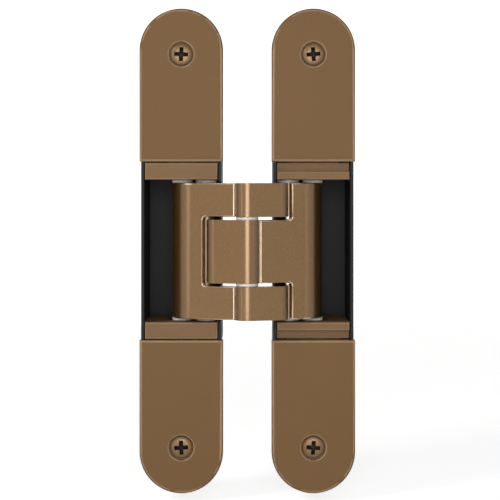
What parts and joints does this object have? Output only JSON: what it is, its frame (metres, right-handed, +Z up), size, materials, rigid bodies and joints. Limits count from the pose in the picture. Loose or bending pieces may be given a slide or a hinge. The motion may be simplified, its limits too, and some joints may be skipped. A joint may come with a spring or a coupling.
{
  "type": "concealed door hinge",
  "caption": "Concealed door hinge for flush doors: two slim mortised leaves joined by two crossing arms on pivots and guide rollers, opening to 180 degrees.",
  "frame": {"origin": "middle of the frame leaf, in the plane of its cover plates", "axes": "+X from the frame leaf to the door leaf when open, +Y into the wood, +Z up along the leaves"},
  "size_m": [0.0712, 0.0398, 0.16],
  "materials": {
    "bronze_lacquer": "fine metallic lacquer, satin",
    "bronze_screws": "metallic lacquer, satin",
    "black_casting": "black coated die casting, matt",
    "white_polymer": "bearing polymer, satin",
    "ground_steel": "ground",
    "zinc_plated_steel": "zinc plated"
  },
  "bodies": {
    "frame_leaf": {"frame_housing": "black_casting", "frame_cover_top": "bronze_lacquer", "frame_cover_bottom": "bronze_lacquer", "frame_cover_screws": "bronze_screws"},
    "side_spindle_top": {"side_spindle_top": "zinc_plated_steel", "spindle_clip_top": "zinc_plated_steel"},
    "side_spindle_bottom": {"side_spindle_bottom": "zinc_plated_steel", "spindle_clip_bottom": "zinc_plated_steel"},
    "frame_carriers": {"frame_carrier_top": "bronze_lacquer", "frame_carrier_bottom": "bronze_lacquer", "frame_pivot_bushes": "white_polymer"},
    "tongue_arm": {"tongue_arm": "bronze_lacquer", "frame_pivot_pin": "ground_steel", "door_slide_pin": "ground_steel", "centre_bushes": "white_polymer"},
    "fork_arm": {"fork_arm": "bronze_lacquer", "centre_pin": "ground_steel", "frame_slide_pin": "ground_steel", "door_pivot_pin": "ground_steel"},
    "frame_guide_rollers": {"frame_guide_rollers": "white_polymer"},
    "door_guide_rollers": {"door_guide_rollers": "white_polymer"},
    "door_carriers": {"door_carrier_top": "bronze_lacquer", "door_carrier_bottom": "bronze_lacquer", "door_pivot_bushes": "white_polymer"},
    "door_leaf": {"door_housing": "black_casting", "door_cover_top": "bronze_lacquer", "door_cover_bottom": "bronze_lacquer", "door_cover_screws": "bronze_screws", "height_clamp_screws": "zinc_plated_steel"}
  },
  "joints": [
    {"name": "side_adjust", "type": "slide", "parent": "frame_leaf", "child": "frame_carriers", "axis": [0, 1, 0], "range_m": [-0.003, 0.003]},
    {"name": "side_spindle_top_turn", "type": "hinge", "parent": "frame_leaf", "child": "side_spindle_top", "pos_m": [0, 0.003, 0.036], "axis": [0, 1, 0], "range_deg": [-1080, 1080]},
    {"name": "side_spindle_bottom_turn", "type": "hinge", "parent": "frame_leaf", "child": "side_spindle_bottom", "pos_m": [0, 0.003, -0.036], "axis": [0, 1, 0], "range_deg": [-1080, 1080]},
    {"name": "swing", "type": "hinge", "parent": "frame_carriers", "child": "tongue_arm", "pos_m": [0.0082, 0.008, 0], "axis": [0, 0, -1], "range_deg": [0, 105.12]},
    {"name": "arm_cross", "type": "hinge", "parent": "tongue_arm", "child": "fork_arm", "pos_m": [0.0218, -0.004, 0], "axis": [0, 0, -1], "range_deg": [-30.23, 0]},
    {"name": "door_pivot", "type": "hinge", "parent": "fork_arm", "child": "door_carriers", "pos_m": [0.0354, 0.008, 0], "axis": [0, 0, -1], "range_deg": [0, 105.12]},
    {"name": "frame_roller_turn", "type": "hinge", "parent": "fork_arm", "child": "frame_guide_rollers", "pos_m": [0, 0.00907, 0], "axis": [0, 0, -1], "range_deg": [0, 200]},
    {"name": "door_roller_turn", "type": "hinge", "parent": "tongue_arm", "child": "door_guide_rollers", "pos_m": [0.0436, 0.00907, 0], "axis": [0, 0, -1], "range_deg": [-200, 0]},
    {"name": "height_adjust", "type": "slide", "parent": "door_carriers", "child": "door_leaf", "axis": [0, 0, 1], "range_m": [-0.0025, 0.0025]}
  ],
  "couplings": [
    {"joint": "side_spindle_top_turn", "follows": "side_adjust", "rad_per_m": -6283.2},
    {"joint": "side_spindle_bottom_turn", "follows": "side_adjust", "rad_per_m": -6283.2},
    {"joint": "arm_cross", "follows": "swing", "ratio": -0.28762},
    {"joint": "door_pivot", "follows": "swing", "ratio": 1},
    {"joint": "frame_roller_turn", "follows": "swing", "ratio": 1.888},
    {"joint": "door_roller_turn", "follows": "swing", "ratio": -1.888}
  ]
}
